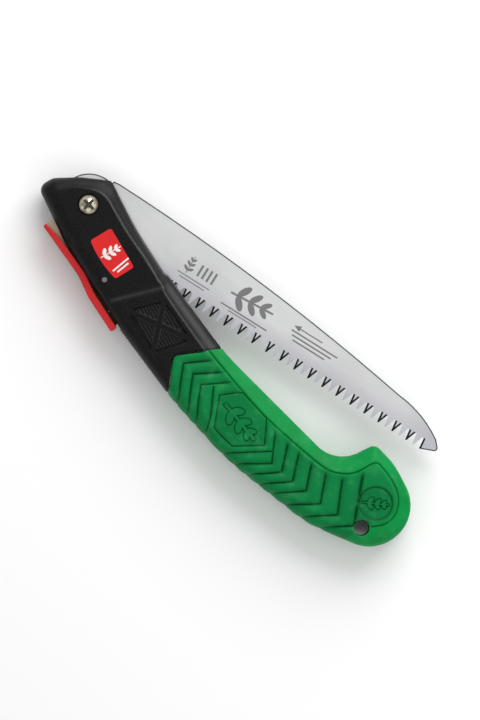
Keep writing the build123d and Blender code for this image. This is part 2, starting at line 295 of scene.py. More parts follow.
# ---- the handle's surface ----
OUTLINE = rounded_outline(HANDLE_OUTLINE)


def parting_x(y):
    """Where the black body meets the green grip: a rounded arrowhead."""
    return PARTING_TIP[0] + np.hypot(PARTING_SLOPE * (y - PARTING_TIP[1]), PARTING_ROUNDING)


def bevel_share(outline):
    """1 where the outline has the bevelled mouth edge, 0 where it is round."""
    x, y = outline[:, 0], outline[:, 1]
    mouth = (y > -7.5) & (x > -16)
    share = np.where(mouth, 1.0, 0.0)
    kernel = np.hanning(41)
    wide = np.concatenate([share[-40:], share, share[:40]])
    return np.convolve(wide, kernel / kernel.sum(), "same")[40:-40]


BEVEL = bevel_share(OUTLINE)
BAND_LINE = curve_through(BAND_GROOVE, 0.4)


class Surface:
    """How far each point of the plan is from the outline, and the profile it gives."""

    def __init__(self, points):
        tree = KDTree(len(OUTLINE))
        for index, point in enumerate(OUTLINE):
            tree.insert((*point, 0), index)
        tree.balance()
        count = len(OUTLINE)
        nearest = np.array([tree.find((*p, 0))[1] for p in points])
        self.depth = np.full(len(points), 1e9)
        for offset in (-1, 0):
            a = OUTLINE[(nearest + offset) % count]
            b = OUTLINE[(nearest + offset + 1) % count]
            run = b - a
            share = np.clip(((points - a) * run).sum(1) / (run * run).sum(1), 0, 1)
            gap = points - a - share[:, None] * run
            self.depth = np.minimum(self.depth, np.hypot(gap[:, 0], gap[:, 1]))
        self.bevel = BEVEL[nearest]
        self.soften_head_corner(points)

    def soften_head_corner(self, points):
        """Blends the distances to the mouth edge and the head's end where they meet."""
        corner = np.array(HANDLE_OUTLINE[0][:2])
        mouth = distance_to(points, (corner, HANDLE_OUTLINE[1][:2]))
        end = distance_to(points, (corner, HANDLE_OUTLINE[-1][:2]))
        blend = np.clip(HEAD_CORNER_BLEND - np.abs(mouth - end), 0, None)
        near = smoothstep(-points[:, 0], -20.0, -12.0)
        lower = blend**2 / (4 * HEAD_CORNER_BLEND) * smoothstep(self.depth, 0.5, 3.0) * near
        self.depth = self.depth - lower

    def height(self, full, band_width, edge):
        d = self.depth
        ramp = np.clip(d / band_width, 0, 1.6)
        rise = ramp - 0.5 * (np.sqrt((ramp - 1) ** 2 + 0.006) + (ramp - 1))
        bevelled = edge + (full - edge) * rise
        corner = 1.4
        short = np.clip(corner - d, 0, corner)
        bevelled = bevelled - (corner - np.sqrt(corner**2 - short**2)) * 1.2
        radius = 8.0
        short = np.clip(radius - d, 0, radius)
        rounded = full - (radius - np.sqrt(radius**2 - short**2)) * 0.98
        return self.bevel * bevelled + (1 - self.bevel) * rounded


def thin_out(groups):
    """Keeps each point that is not too near one kept before it; groups are (points, gap)."""
    cells, kept, size = {}, [], 0.6
    for points, gap in groups:
        for x, y in points:
            column, row = int(x // size), int(y // size)
            near = (q for i in (-1, 0, 1) for j in (-1, 0, 1)
                    for q in cells.get((column + i, row + j), ()))
            if all((x - u) ** 2 + (y - v) ** 2 > gap * gap for u, v in near):
                kept.append((x, y))
                cells.setdefault((column, row), []).append((x, y))
    return np.array(kept)


def plan_mesh(boundary, lines, spacing):
    """Triangles over the plan inside the boundary, with extra points along the lines."""
    count = len(boundary)
    side = inward(boundary)
    rings = []
    for gap in EDGE_RINGS:
        ring = boundary + side * gap
        clear = distance_to(ring, boundary, closed=True) > gap * 0.93
        rings.append((ring[clear], 0.12 + gap * 0.1))
    low, high = boundary.min(0), boundary.max(0)
    rows = np.arange(low[1], high[1], spacing * 0.866)
    grid = [(x + (spacing / 2) * (k % 2), y) for k, y in enumerate(rows)
            for x in np.arange(low[0], high[0], spacing)]
    grid = np.array(grid)
    grid = grid[inside(grid, boundary)]
    groups = [(line, 0.09) for line in lines] + rings + [(grid, spacing * 0.62)]
    inner = thin_out([(boundary, 0.0)] + groups)[count:]
    inner = inner[inside(inner, boundary)]
    inner = inner[distance_to(inner, boundary, closed=True) > 0.08]
    points = [Vector(p) for p in np.vstack([boundary, inner])]
    made = delaunay_2d_cdt(points, [], [list(range(count))], 1, 1e-5)
    xy = np.array([tuple(p) for p in made[0]])
    faces = [f for f in made[2] if len(f) == 3]
    sources = made[3]
    loop = [None] * count
    for index, origins in enumerate(sources):
        for origin in origins:
            if origin < count:
                loop[origin] = index
    return xy, faces, [k for k in loop if k is not None]


def solid_from_plan(name, xy, faces, loop, height, relief, wall_steps=4):
    """A closed mesh: the near face, its mirror image, and the wall between them."""
    count = len(xy)
    if np.cross(xy[loop], np.roll(xy[loop], -1, axis=0)).sum() < 0:
        loop = loop[::-1]
    near = np.column_stack([xy, height])
    near += face_normals(near, faces) * relief[:, None]
    far = near * (1, 1, -1)
    rim = near[loop]
    rows = [rim * (1, 1, 1 - 2 * k / wall_steps) for k in range(1, wall_steps)]
    co = np.vstack([near, far] + rows)
    tris = [tuple(f) for f in faces] + [tuple(count + k for k in reversed(f)) for f in faces]
    ladder = [list(loop)]
    for k in range(wall_steps - 1):
        ladder.append([2 * count + k * len(loop) + i for i in range(len(loop))])
    ladder.append([count + i for i in loop])
    for upper, lower in zip(ladder, ladder[1:]):
        for i in range(len(loop)):
            j = (i + 1) % len(loop)
            tris.append((upper[i], lower[i], lower[j], upper[j]))
    mesh = bpy.data.meshes.new(name)
    base = np.array(PIVOT)
    mesh.from_pydata((co * MM + base).tolist(), [], tris)
    mesh.update()
    return mesh


def face_normals(co, faces):
    """Vertex normals of an open surface, facing up."""
    f = np.array(faces)
    n = np.cross(co[f[:, 1]] - co[f[:, 0]], co[f[:, 2]] - co[f[:, 0]])
    n *= np.sign(n[:, 2:3] + 1e-12)
    total = np.zeros_like(co)
    for k in range(3):
        np.add.at(total, f[:, k], n)
    return total / np.maximum(np.linalg.norm(total, axis=1)[:, None], 1e-12)


def prism(name, polygon, low, high):
    """A closed cutter over a polygon of the plan."""
    count = len(polygon)
    co = [at(x, y, low) for x, y in polygon] + [at(x, y, high) for x, y in polygon]
    faces = [tuple(range(count))[::-1], tuple(range(count, 2 * count))]
    faces += [(i, (i + 1) % count, count + (i + 1) % count, count + i) for i in range(count)]
    mesh = bpy.data.meshes.new(name)
    mesh.from_pydata([tuple(c) for c in co], [], faces)
    bm = bmesh.new()
    bm.from_mesh(mesh)
    bmesh.ops.recalc_face_normals(bm, faces=bm.faces)
    bm.to_mesh(mesh)
    bm.free()
    return mesh


def circle(centre, radius, count):
    angles = [2 * math.pi * k / count for k in range(count)]
    return [(centre[0] + radius * math.cos(a), centre[1] + radius * math.sin(a)) for a in angles]


def cut(mesh, cutters):
    """The mesh with each cutter taken away."""
    piece = bpy.data.objects.new("work", mesh)
    scene.collection.objects.link(piece)
    tools = []
    for index, cutter in enumerate(cutters):
        tool = bpy.data.objects.new(f"cutter_{index}", cutter)
        scene.collection.objects.link(tool)
        tools.append(tool)
        change = piece.modifiers.new("cut", "BOOLEAN")
        change.operation = "DIFFERENCE"
        change.solver = "EXACT"
        change.object = tool
    bpy.context.view_layer.update()
    graph = bpy.context.evaluated_depsgraph_get()
    result = bpy.data.meshes.new_from_object(piece.evaluated_get(graph))
    for item in [piece, *tools]:
        bpy.data.objects.remove(item)
    return result


def wall_slot():
    return [prism("slot", BLADE_SLOT, -SLOT_HALF, SLOT_HALF),
            prism("through", THROUGH_SLOT, -SLOT_HALF, SLOT_HALF)]


def lanyard_cutter():
    return prism("hole", circle(LANYARD_HOLE, LANYARD_RADIUS, 64), -FAR, FAR)


# ---- motifs moulded in relief ----
def sprig(points, centre, length, turn, grow=0.0):
    """1 inside a sprig, a stem with leaves in pairs, grown all round by some millimetres."""
    more = grow / length
    c, s = math.cos(turn), math.sin(turn)
    local = (points - centre) @ np.array([[c, -s], [s, c]])
    x, y = local[:, 0] / length, local[:, 1] / length
    mask = (np.abs(y) < 0.035 + more) & (np.abs(x) < 0.52 + more)
    for root, lean, size in ((-0.30, 0.85, 0.30), (-0.02, 0.8, 0.27), (0.24, 0.7, 0.22)):
        for side in (1, -1):
            u = (x - root) * math.cos(lean) + side * y * math.sin(lean)
            v = -(x - root) * math.sin(lean) + side * y * math.cos(lean)
            reach = size / 2 + more
            half = (size * 0.28 + more) * np.sqrt(np.clip(1 - ((u - size / 2) / reach) ** 2, 0, 1))
            mask |= np.abs(v) < half
    return mask.astype(float)


def rib_relief(points, depth, band_gap, hexagon_gap):
    """The chevron ribs' relief, and the painted shade in their grooves."""
    field = [distance_to(points, line) for line in CHEVRONS]
    field += [hexagon_gap, np.abs(points[:, 0] - parting_x(points[:, 1])) + 0.4]
    field = np.sort(np.array(field), axis=0)
    first, second = field[0], field[1]
    ridge = np.sin(math.pi * first / (first + second + 1e-6)) ** 0.9
    width = np.clip((first + second) / 6.0, 0.45, 1.1)
    fade = smoothstep(band_gap, 0.5, 4.2) * (0.35 + 0.65 * smoothstep(depth, 0.0, 4.5))
    behind = smoothstep(points[:, 0] - line_x(points[:, 1], CHEVRONS[-1]), -0.2, 1.2)
    fade *= 1 - behind * smoothstep(first, 0.4, 1.6)
    crease = np.exp(-((first / 0.28) ** 2))
    ribs = (-RIB_DEPTH * (1 - ridge) * width - 0.32 * crease) * fade
    return ribs, ((1 - ridge) ** 2 * 0.55 + 0.5 * crease) * fade


def hexagon_relief(points, hexagon_gap):
    """The sunk hexagon with its sprig, and the painted shade in it, strongest along its rim and round the sprig.
    """
    motif = sprig(points, *HEXAGON_SPRIG)
    outline = sprig(points, *HEXAGON_SPRIG, grow=0.38) - motif
    rim = np.exp(-((hexagon_gap / 0.28) ** 2))
    relief = -0.62 - 0.32 * rim + 0.5 * motif - 0.2 * outline
    return relief, 0.16 + 0.6 * rim + 0.6 * outline


def emblem_relief(points):
    """The round emblem with its sprig, inside a ring groove, and the painted shade in it, strongest in the ring
    and round the sprig.
    """
    out = np.hypot(points[:, 0] - EMBLEM_CENTRE[0], points[:, 1] - EMBLEM_CENTRE[1])
    disc = smoothstep(EMBLEM_RADIUS - out, 0, 0.5)
    leaf = sprig(points, *EMBLEM_SPRIG)
    edge = sprig(points, *EMBLEM_SPRIG, grow=0.34) - leaf
    ring = np.exp(-(((out - EMBLEM_RADIUS) / 0.36) ** 2))
    relief = disc * (-0.55 + 0.45 * leaf - 0.2 * edge) - 0.5 * ring
    return relief, disc * (0.1 + 0.7 * edge) + 0.85 * ring


def grip_relief(points, depth):
    """Height added to the grip's smooth form, the painted shade at each point, and what is panel."""
    band_gap = distance_to(points, BAND_LINE)
    panel = inside(points, [tuple(p) for p in BAND_LINE] + [(196, -60), (60, -60), (60, -8.7)])
    hexagon = inside(points, HEXAGON) & panel
    hexagon_gap = distance_to(points, HEXAGON, closed=True)
    ribs, rib_shade = rib_relief(points, depth, band_gap, hexagon_gap)
    sunk, sunk_shade = hexagon_relief(points, hexagon_gap)
    relief = np.where(hexagon, sunk, np.where(panel, ribs, 0.0))
    shadow = np.where(hexagon, sunk_shade, np.where(panel, rib_shade, 0.0))
    emblem, emblem_shade = emblem_relief(points)
    relief += emblem
    shadow += emblem_shade
    from_hole = np.hypot(points[:, 0] - LANYARD_HOLE[0], points[:, 1] - LANYARD_HOLE[1])
    line = np.exp(-((band_gap / 0.34) ** 2)) * smoothstep(from_hole, LANYARD_RADIUS, 5.0)
    relief = np.minimum(relief, relief * 0.4 - 0.62 * line)
    relief -= 0.35 * smoothstep(4.9 - from_hole, 0.0, 1.0)
    # Painted shade along the band groove too.
    shadow = np.maximum(shadow, 0.75 * line)
    return relief, np.clip(shadow, 0, 1), panel, band_gap


def line_x(y, line):
    """x of a bent groove at height y, extended past its ends."""
    pts = sorted(line, key=lambda p: p[1])
    ys = [p[1] for p in pts]
    xs = [p[0] for p in pts]
    return np.interp(y, ys, xs)


def outline_part(keep, overlap):
    """The kept stretch of the outline, closed along the parting line."""
    start = next(i for i in range(len(keep)) if keep[i] and not keep[i - 1])
    ring = np.roll(OUTLINE, -start, axis=0)[: keep.sum()]
    ys = np.linspace(ring[-1][1], ring[0][1], 80)[1:-1]
    return np.vstack([ring, np.column_stack([parting_x(ys) + overlap, ys])])


def grip_boundary():
    return outline_part(OUTLINE[:, 0] > parting_x(OUTLINE[:, 1]) + 0.05, 0.0)


def grip_mesh():
    boundary = resample(grip_boundary(), 0.45, closed=True)
    lines = []
    for line in CHEVRONS:
        dense = resample(line, 0.4)
        lines += [beside(dense, gap) for gap in (0, -0.22, 0.22)]
    for gap in (0, -0.25, 0.25, -0.6, 0.6):
        lines.append(beside(BAND_LINE, gap))
    centre = np.mean(HEXAGON, axis=0)
    for scale in (0.96, 0.985, 1.0, 1.015, 1.04):
        lines.append(resample(centre + (np.array(HEXAGON) - centre) * scale, 0.3, closed=True))
    for radius in (7.5, 7.75, 8.0, 8.25):
        lines.append(np.array(circle(EMBLEM_CENTRE, radius, 120)))
    for radius in (3.95, 4.4, 4.9):
        lines.append(np.array(circle(LANYARD_HOLE, radius, 64)))
    for centre, reach in ((EMBLEM_CENTRE, 7.2), (HEXAGON_CENTRE, 10.5)):
        fine = np.mgrid[-reach:reach:0.26, -reach:reach:0.26].reshape(2, -1).T
        fine = fine[np.hypot(fine[:, 0], fine[:, 1]) < reach] + centre
        lines.append(fine)
    xy, faces, loop = plan_mesh(boundary, lines, 0.5)
    surface = Surface(xy)
    relief, shadow, panel, band_gap = grip_relief(xy, surface.depth)
    step = smoothstep(xy[:, 0] - parting_x(xy[:, 1]), 0.0, 0.9)
    full = GRIP_HALF - 0.55
    crown = 0.55 * smoothstep(surface.depth, 6.0, 17.0)
    width = np.interp(xy[:, 0], (80, 95, 130, 170, 190, 220), (6.6, 7.0, 7.6, 8.2, 6.0, 8.0))
    height = surface.height(full, width, GRIP_EDGE) + crown - 0.7 * (1 - step) ** 2
    mesh = solid_from_plan("grip", xy, faces, loop, height, relief)
    # The smooth band and the ribbed panel are one rubber: painted light makes the band a lighter green, and
    # painted shade makes the panel darker.
    panel_painted_shade = np.where(panel, smoothstep(band_gap, 0.0, 2.5), 0.0)
    paint(mesh, {"panel_painted_shade": panel_painted_shade, "painted_shade": shadow})
    mesh = cut(mesh, [lanyard_cutter()] + wall_slot()[:1])
    shade(mesh, 40)
    return mesh


def paint(mesh, layers):
    """Stores values for the material on the near face's vertices and their mirror images."""
    for name, values in layers.items():
        count = len(values)
        whole = np.zeros(len(mesh.vertices))
        whole[:count] = values
        whole[count : 2 * count] = values
        mesh.attributes.new(name, "FLOAT", "POINT").data.foreach_set("value", whole)


def core_boundary():
    return outline_part(OUTLINE[:, 0] < parting_x(OUTLINE[:, 1]) + PARTING_OVERLAP, PARTING_OVERLAP)


def cross_gap(points):
    """The distance to the middle of the pad's diagonal bars."""
    first, second = (distance_to(points, PAD_CORNERS[k::2]) for k in (0, 1))
    return np.minimum(first, second)


def pad_relief(points):
    """The thumb pad: fine ribs and a raised cross in a shallow recess."""
    pad = inside(points, PAD_CORNERS)
    gap = distance_to(points, PAD_CORNERS, closed=True)
    centre = np.mean(PAD_CORNERS, axis=0)
    turn = math.radians(-15.0)
    across = (points - centre) @ (-math.sin(turn), math.cos(turn))
    ribs = 0.34 * (0.5 + 0.5 * np.cos(2 * math.pi * across / 1.5))
    depth = -0.75 * smoothstep(gap, 0.0, 0.3) + ribs * smoothstep(gap, 0.5, 0.9)
    bars = cross_gap(points)
    on_bar = smoothstep(1.75 - bars, 0.0, 0.3)
    return np.where(pad, depth * (1 - on_bar) - 0.05 * on_bar, 0.0)


def core_front_mesh():
    boundary = resample(core_boundary(), 0.45, closed=True)
    lines = [resample(PAD_CORNERS, 0.3, closed=True)]
    crest = curve_through(CREST, 0.4)
    lines += [beside(crest, gap) for gap in (0, -0.3, 0.3)]
    low, high = np.min(PAD_CORNERS, axis=0), np.max(PAD_CORNERS, axis=0)
    fine = np.mgrid[low[0]:high[0]:0.3, low[1]:high[1]:0.3].reshape(2, -1).T
    lines.append(fine[inside(fine, PAD_CORNERS)])
    xy, faces, loop = plan_mesh(boundary, lines, 0.55)
    surface = Surface(xy)
    width = np.interp(xy[:, 0], (-20, 9, 36, 47, 56, 90), (5.4, 5.2, 3.9, 4.0, 6.1, 6.9))
    height = surface.height(CORE_HALF, width, CORE_EDGE)
    lip = 0.3 * np.exp(-(((surface.depth - width - 0.2) / 0.4) ** 2)) * surface.bevel
    step_line = distance_to(xy, STEP_LINE)
    behind = xy[:, 0] > line_x(xy[:, 1], STEP_LINE)
    shelf = np.where(behind, smoothstep(step_line, 0, 0.8), 0.0) * -0.6
    past_parting = xy[:, 0] - parting_x(xy[:, 1])
    shelf *= smoothstep(surface.depth, 4.0, 6.5) * smoothstep(-past_parting, 0.5, 8)
    dip = -0.45 * smoothstep(past_parting, -1.2, -0.2)
    relief = pad_relief(xy) + lip + shelf + dip
    mesh = solid_from_plan("core", xy, faces, loop, height, relief)
    # Painted highlights, lighter grey on the black: a line along the bevel's crest, a sheen in the middle of the
    # bevel, a line along the step and the edges of the pad's cross.
    crest_highlight = np.exp(-(((surface.depth - width - 0.1) / 0.4) ** 2)) * surface.bevel
    crest_highlight *= smoothstep(xy[:, 0], -9.0, 3.0)
    rear = (0.2 + 0.8 * smoothstep(xy[:, 0], 50.0, 58.0)) * surface.bevel
    streak = 0.5 * rear * np.exp(-(((surface.depth - width * 0.5) / (width * 0.25)) ** 2))
    step_highlight = 0.3 * np.exp(-((step_line / 0.9) ** 2)) * smoothstep(surface.depth, 2.0, 4.0)
    painted_highlight = np.clip(crest_highlight * 0.75 + streak + step_highlight + pad_highlight(xy), 0, 1)
    paint(mesh, {"painted_highlight": painted_highlight})
    return mesh


def pad_highlight(points):
    """Painted highlight on the pad: lighter lines along the edges of its cross, away from the pad's border."""
    bars = cross_gap(points)
    edge = np.exp(-(((bars - 1.5) / 0.25) ** 2))
    inner = smoothstep(distance_to(points, PAD_CORNERS, closed=True), 1.0, 3.0)
    return np.where(inside(points, PAD_CORNERS), 0.3 * edge * inner, 0.0)


CREST = (
    (-5.0, 12.0), (-1.0, 10.6), (8.6, 7.1), (17.7, 4.9), (36.5, 1.0), (46.5, -1.2),
    (53.9, -3.4), (57.0, -4.7), (70.5, -6.9), (85.3, -9.5),
)


def core_mesh():
    front = core_front_mesh()
    front = cut(front, wall_slot() + [
        prism("channel", LEVER_CHANNEL, -CHANNEL_HALF, CHANNEL_HALF),
        prism("pocket", LEVER_POCKET, -SLOT_HALF, SLOT_HALF),
        prism("head_recess", circle((0, 0), HEAD_RECESS[0], 64), HEAD_RECESS[1], FAR),
        prism("bore", circle((0, 0), BUSH_BORE[0], 48), -BUSH_BORE[1], BUSH_BORE[1]),
        prism("clearance", circle((0, 0), SCREW_BORE_RADIUS, 32), -FAR, FAR),
        prism("pin_bore", circle(LEVER_PIN, PIN_BORE_RADIUS, 32), -FAR, FAR),
        prism("nut_recess", circle((0, 0), NUT_RECESS[0] / math.sqrt(3), 6), -FAR, NUT_RECESS[1]),
    ])
    inner = [tuple(p) for p in resample(inset_core(), 0.8, closed=True)]
    rear = cut(prism("rear", inner, -REAR_HALF, REAR_HALF), wall_slot()[:1] + [lanyard_cutter()])
    collar = prism("collar", circle(LANYARD_HOLE, COLLAR_RADIUS, 64), -COLLAR_HALF, COLLAR_HALF)
    collar = cut(collar, [lanyard_cutter()])
    bm = bmesh.new()
    for part in (front, rear, collar):
        bm.from_mesh(part)
    mesh = bpy.data.meshes.new("core")
    bm.to_mesh(mesh)
    bm.free()
    shade(mesh, 32)
    return mesh


def inset_core():
    """The outline of the core inside the grip."""
    ring = grip_boundary()
    moved = ring + inward(ring) * SKIN
    return moved[distance_to(moved, ring, closed=True) > SKIN * 0.96]


# ---- materials ----
def new_material(name, **values):
    material = bpy.data.materials.new(name)
    material.use_nodes = True
    shader = material.node_tree.nodes["Principled BSDF"]
    for key, value in values.items():
        shader.inputs[key.replace("_", " ")].default_value = value
    return material, material.node_tree, shader


def node(tree, kind, **values):
    made = tree.nodes.new(kind)
    for key, value in values.items():
        if hasattr(made, key):
            setattr(made, key, value)
        else:
            made.inputs[key.replace("_", " ")].default_value = value
    return made


def noise(tree, scale, detail=4.0, stretch=(1, 1, 1), turn=0.0):
    where = node(tree, "ShaderNodeTexCoord")
    place = node(tree, "ShaderNodeMapping")
    place.inputs["Scale"].default_value = stretch
    place.inputs["Rotation"].default_value = (0, 0, turn)
    made = node(tree, "ShaderNodeTexNoise", Scale=scale, Detail=detail)
    tree.links.new(where.outputs["Object"], place.inputs["Vector"])
    tree.links.new(place.outputs["Vector"], made.inputs["Vector"])
    return made


def ramp(tree, source, stops):
    made = node(tree, "ShaderNodeValToRGB")
    elements = made.color_ramp.elements
    for index, (position, colour) in enumerate(stops):
        element = elements[index] if index < 2 else elements.new(position)
        element.position = position
        element.color = (*colour, 1)
    tree.links.new(source, made.inputs["Fac"])
    return made


def grey(value):
    return (value, value, value)


def multiply(tree, first, second):
    """The product of two colours."""
    made = node(tree, "ShaderNodeMix", data_type="RGBA", blend_type="MULTIPLY")
    made.inputs["Factor"].default_value = 1.0
    tree.links.new(first, made.inputs[6])
    tree.links.new(second, made.inputs[7])
    return made.outputs[2]


def scuff_and_highlight(tree, first, colour, amount):
    """A colour moved towards another by an amount that varies over the surface: scuffs on the grip, painted
    highlights on the black core.
    """
    made = node(tree, "ShaderNodeMix", data_type="RGBA")
    made.inputs[7].default_value = (*colour, 1)
    tree.links.new(amount, made.inputs["Factor"])
    tree.links.new(first, made.inputs[6])
    return made.outputs[2]


def roughen(tree, shader, source, low, high):
    """Roughness from a pattern; low and high are each a position and a roughness."""
    made = ramp(tree, source, ((low[0], grey(low[1])), (high[0], grey(high[1]))))
    tree.links.new(made.outputs["Color"], shader.inputs["Roughness"])


def share_between(tree, source, start, end):
    """0 where a value is at its start, 1 at its end."""
    made = node(tree, "ShaderNodeMapRange")
    made.inputs["From Min"].default_value = start
    made.inputs["From Max"].default_value = end
    tree.links.new(source, made.inputs["Value"])
    return made.outputs["Result"]


def bump(tree, shader, source, strength, distance):
    made = node(tree, "ShaderNodeBump", Strength=strength, Distance=distance)
    tree.links.new(source, made.inputs["Height"])
    tree.links.new(made.outputs["Normal"], shader.inputs["Normal"])


def grip_material():
    material, tree, shader = new_material("green_grip_rubber", Roughness=0.5)
    shader.inputs["Specular IOR Level"].default_value = 0.1
    panel_painted_shade = node(tree, "ShaderNodeAttribute", attribute_name="panel_painted_shade")
    painted_shade = node(tree, "ShaderNodeAttribute", attribute_name="painted_shade")
    # Painted light: the band's green is the lit copy of the rubber, and the panel's green is the shaded copy.
    lit_band_green, shaded_panel_green = (0.0004, 0.235, 0.048), (0.001, 0.185, 0.046)
    base = ramp(tree, panel_painted_shade.outputs["Fac"], ((0.0, lit_band_green), (1.0, shaded_panel_green)))
    # Painted shade: the green is darkened in grooves, creases and rims.
    dark = ramp(tree, painted_shade.outputs["Fac"], ((0.0, grey(1.0)), (1.0, (0.12, 0.22, 0.12))))
    colour = multiply(tree, base.outputs["Color"], dark.outputs["Color"])
    cloud = noise(tree, 55, 5)
    tint = ramp(tree, cloud.outputs["Fac"], ((0.3, grey(0.86)), (0.7, grey(1.08))))
    colour = multiply(tree, colour, tint.outputs["Color"])
    scuff = noise(tree, 190, 6, turn=0.6)
    amount = ramp(tree, scuff.outputs["Fac"], ((0.52, grey(0.0)), (0.78, grey(0.34))))
    colour = scuff_and_highlight(tree, colour, (0.05, 0.33, 0.12), amount.outputs["Color"])
    tree.links.new(colour, shader.inputs["Base Color"])
    roughen(tree, shader, cloud.outputs["Fac"], (0.3, 0.42), (0.75, 0.56))
    grain = noise(tree, 2600, 2)
    bump(tree, shader, grain.outputs["Fac"], 0.12, 0.0002)
    return material


def core_material():
    material, tree, shader = new_material("black_core_nylon", Roughness=0.42)
    shader.inputs["Specular IOR Level"].default_value = 0.16
    pebble = node(tree, "ShaderNodeTexVoronoi", Scale=1500.0)
    where = node(tree, "ShaderNodeTexCoord")
    tree.links.new(where.outputs["Object"], pebble.inputs["Vector"])
    cloud = noise(tree, 70, 5)
    speck = noise(tree, 1100, 3)
    base = ramp(tree, speck.outputs["Fac"], ((0.35, grey(0.0008)), (0.7, grey(0.007))))
    # Painted highlights: the black is lightened to grey along its crests, bevel, step and the pad's cross.
    painted_highlight = node(tree, "ShaderNodeAttribute", attribute_name="painted_highlight")
    colour = scuff_and_highlight(tree, base.outputs["Color"], (0.085, 0.085, 0.09), painted_highlight.outputs["Fac"])
    tree.links.new(colour, shader.inputs["Base Color"])
    roughen(tree, shader, cloud.outputs["Fac"], (0.3, 0.36), (0.75, 0.5))
    bump(tree, shader, pebble.outputs["Distance"], 0.42, 0.00012)
    return material


def brushed(tree, shader, roughness, strength, turn):
    """Fine parallel brush marks in the roughness, and in the bump if they have any strength."""
    brush = noise(tree, 900, 3, stretch=(0.03, 1, 1), turn=turn)
    low, high = (0.3, roughness[0]), (0.7, roughness[1])
    roughen(tree, shader, brush.outputs["Fac"], low, high)
    if strength:
        bump(tree, shader, brush.outputs["Fac"], strength, 0.00003)


def steel_material(name, colour, roughness, streak=0.0, turn=0.0, spread=0.08):
    material, tree, shader = new_material(name, Metallic=1.0, Roughness=roughness)
    cloud = noise(tree, 60, 6)
    low = tuple(c * (1 - spread) for c in colour)
    base = ramp(tree, cloud.outputs["Fac"], ((0.3, low), (0.7, colour)))
    tree.links.new(base.outputs["Color"], shader.inputs["Base Color"])
    brushed(tree, shader, (roughness * 0.93, roughness * 1.07), streak, turn)
    return material


def blade_material():
    """Polished steel with soft clouds, a shade bluer and darker towards the hardened teeth."""
    material, tree, shader = new_material("polished_blade", Metallic=1.0, Roughness=0.3)
    cloud = noise(tree, 26, 6, stretch=(0.5, 1, 1), turn=-BLADE_ANGLE)
    base = ramp(tree, cloud.outputs["Fac"],
                ((0.34, (0.74, 0.745, 0.75)), (0.6, (0.94, 0.945, 0.95))))
    where = node(tree, "ShaderNodeTexCoord")
    dot = node(tree, "ShaderNodeVectorMath", operation="DOT_PRODUCT")
    dot.inputs[1].default_value = (-math.sin(BLADE_ANGLE), math.cos(BLADE_ANGLE), 0)
    tree.links.new(where.outputs["Object"], dot.inputs[0])
    centre = PIVOT.y * math.cos(BLADE_ANGLE) - PIVOT.x * math.sin(BLADE_ANGLE)
    across = share_between(tree, dot.outputs["Value"], centre - 12.0 * MM, centre - 2.0 * MM)
    tint = ramp(tree, across, ((0.0, (0.84, 0.83, 0.9)), (1.0, grey(1.0))))
    colour = multiply(tree, base.outputs["Color"], tint.outputs["Color"])
    tree.links.new(colour, shader.inputs["Base Color"])
    brushed(tree, shader, (0.27, 0.33), 0.02, -BLADE_ANGLE)
    return material


def plastic_material(name, colour, roughness, grain=0.05):
    material, tree, shader = new_material(name, Roughness=roughness)
    cloud = noise(tree, 90, 4)
    low = tuple(c * 0.84 for c in colour)
    base = ramp(tree, cloud.outputs["Fac"], ((0.3, low), (0.7, colour)))
    tree.links.new(base.outputs["Color"], shader.inputs["Base Color"])
    roughen(tree, shader, cloud.outputs["Fac"], (0.3, roughness * 0.8), (0.7, roughness * 1.2))
    fine = noise(tree, 1800, 2)
    bump(tree, shader, fine.outputs["Fac"], grain, 0.0001)
    return material


def plate_material():
    """Yellow zinc at the open end of the lever, darkened with painted shade deeper in the handle's channel."""
    material, tree, shader = new_material("yellow_zinc", Metallic=1.0, Roughness=0.4)
    where = node(tree, "ShaderNodeTexCoord")
    split = node(tree, "ShaderNodeSeparateXYZ")
    tree.links.new(where.outputs["Object"], split.inputs["Vector"])
    along = share_between(tree, split.outputs["X"], at(-2, 0).x, at(9, 0).x)
    # Painted shade: the zinc darkens towards the inside of the channel.
    base = ramp(tree, along, ((0.0, (0.6, 0.51, 0.36)), (1.0, (0.035, 0.045, 0.025))))
    cloud = noise(tree, 260, 5)
    tint = ramp(tree, cloud.outputs["Fac"], ((0.3, grey(0.72)), (0.7, grey(1.0))))
    colour = multiply(tree, base.outputs["Color"], tint.outputs["Color"])
    tree.links.new(colour, shader.inputs["Base Color"])
    roughen(tree, shader, cloud.outputs["Fac"], (0.3, 0.34), (0.7, 0.5))
    return material


def screw_material():
    """Yellowish nickel, mottled with painted highlights and dark patches of reflection, and darker towards the rim
    with painted shade where the head sits in its recess.
    """
    material, tree, shader = new_material("nickel_with_painted_light", Metallic=1.0, Roughness=0.22)
    where = node(tree, "ShaderNodeTexCoord")
    flat = node(tree, "ShaderNodeVectorMath", operation="MULTIPLY_ADD")
    flat.inputs[1].default_value = (1, 1, 0)
    flat.inputs[2].default_value = (-PIVOT.x, -PIVOT.y, 0)
    tree.links.new(where.outputs["Object"], flat.inputs[0])
    radius = node(tree, "ShaderNodeVectorMath", operation="LENGTH")
    tree.links.new(flat.outputs["Vector"], radius.inputs[0])
    out = share_between(tree, radius.outputs["Value"], 3.3 * MM, 4.6 * MM)
    # Painted shade towards the rim.
    rim = ramp(tree, out, ((0.0, grey(1.0)), (1.0, (0.2, 0.17, 0.12))))
    cloud = noise(tree, 420, 4)
    # Painted reflection: bright and dark patches over the head.
    base = ramp(tree, cloud.outputs["Fac"], ((0.38, (0.36, 0.31, 0.2)), (0.58, (0.93, 0.89, 0.76))))
    colour = multiply(tree, base.outputs["Color"], rim.outputs["Color"])
    tree.links.new(colour, shader.inputs["Base Color"])
    roughen(tree, shader, cloud.outputs["Fac"], (0.3, 0.34), (0.7, 0.16))
    bump(tree, shader, cloud.outputs["Fac"], 0.25, 0.0002)
    return material


